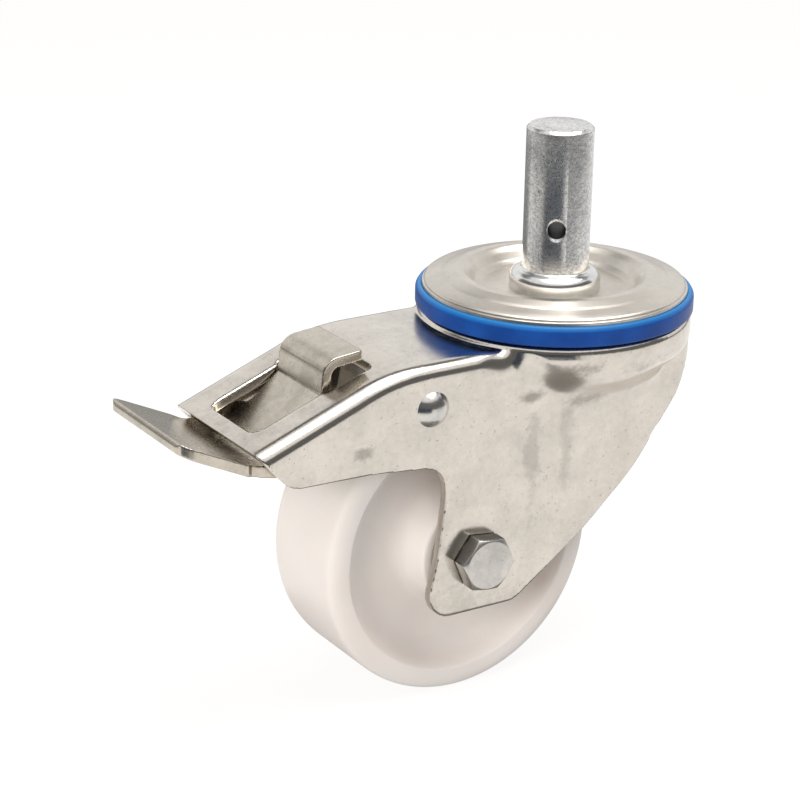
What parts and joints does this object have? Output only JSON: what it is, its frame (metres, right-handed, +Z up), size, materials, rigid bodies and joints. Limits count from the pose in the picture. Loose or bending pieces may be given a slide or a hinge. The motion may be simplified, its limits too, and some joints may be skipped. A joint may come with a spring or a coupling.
{
  "type": "braked swivel castor",
  "caption": "Swivel castor with a plain stem, a pressed steel fork, a solid white wheel and a rear pedal that brakes wheel and swivel together.",
  "frame": {"origin": "centre of the stem at the shoulder where it meets its collar", "axes": "+Z up along the stem and the swivel axis, -X towards the trailing wheel's pedal, Y along the wheel's axle"},
  "size_m": [0.1968, 0.0916, 0.1815],
  "materials": {
    "zinc_steel": "zinc plated, semi-gloss",
    "hard_steel": "ground",
    "spring_steel": "satin",
    "blue_seal": "satin",
    "white_nylon": "satin, slightly translucent",
    "cage_plastic": "satin"
  },
  "bodies": {
    "head": {"stem": "zinc_steel", "top_cap": "zinc_steel", "seal_ring": "blue_seal", "upper_balls": "hard_steel", "lower_balls": "hard_steel", "lower_cup": "zinc_steel", "lock_ring": "zinc_steel", "kingpin_nut": "zinc_steel"},
    "fork": {"fork": "zinc_steel", "axle_bolt": "zinc_steel", "axle_washer": "zinc_steel", "axle_nut": "zinc_steel", "axle_sleeve": "hard_steel", "lever_pin": "zinc_steel"},
    "wheel": {"wheel": "white_nylon", "roller_cage": "cage_plastic", "rollers": "hard_steel", "hub_washers": "zinc_steel"},
    "lever": {"brake_lever": "zinc_steel", "brake_shoe": "spring_steel", "shoe_rivets": "zinc_steel"}
  },
  "joints": [
    {"name": "swivel", "type": "hinge", "parent": "head", "child": "fork", "pos_m": [0, 0, -0.015], "axis": [0, 0, 1], "continuous": true},
    {"name": "wheel_spin", "type": "hinge", "parent": "fork", "child": "wheel", "pos_m": [-0.046, 0, -0.0835], "axis": [0, 1, 0], "continuous": true},
    {"name": "brake_lever", "type": "hinge", "parent": "fork", "child": "lever", "pos_m": [-0.065, 0, -0.0288], "axis": [0, -1, 0], "range_deg": [0, 7]}
  ]
}
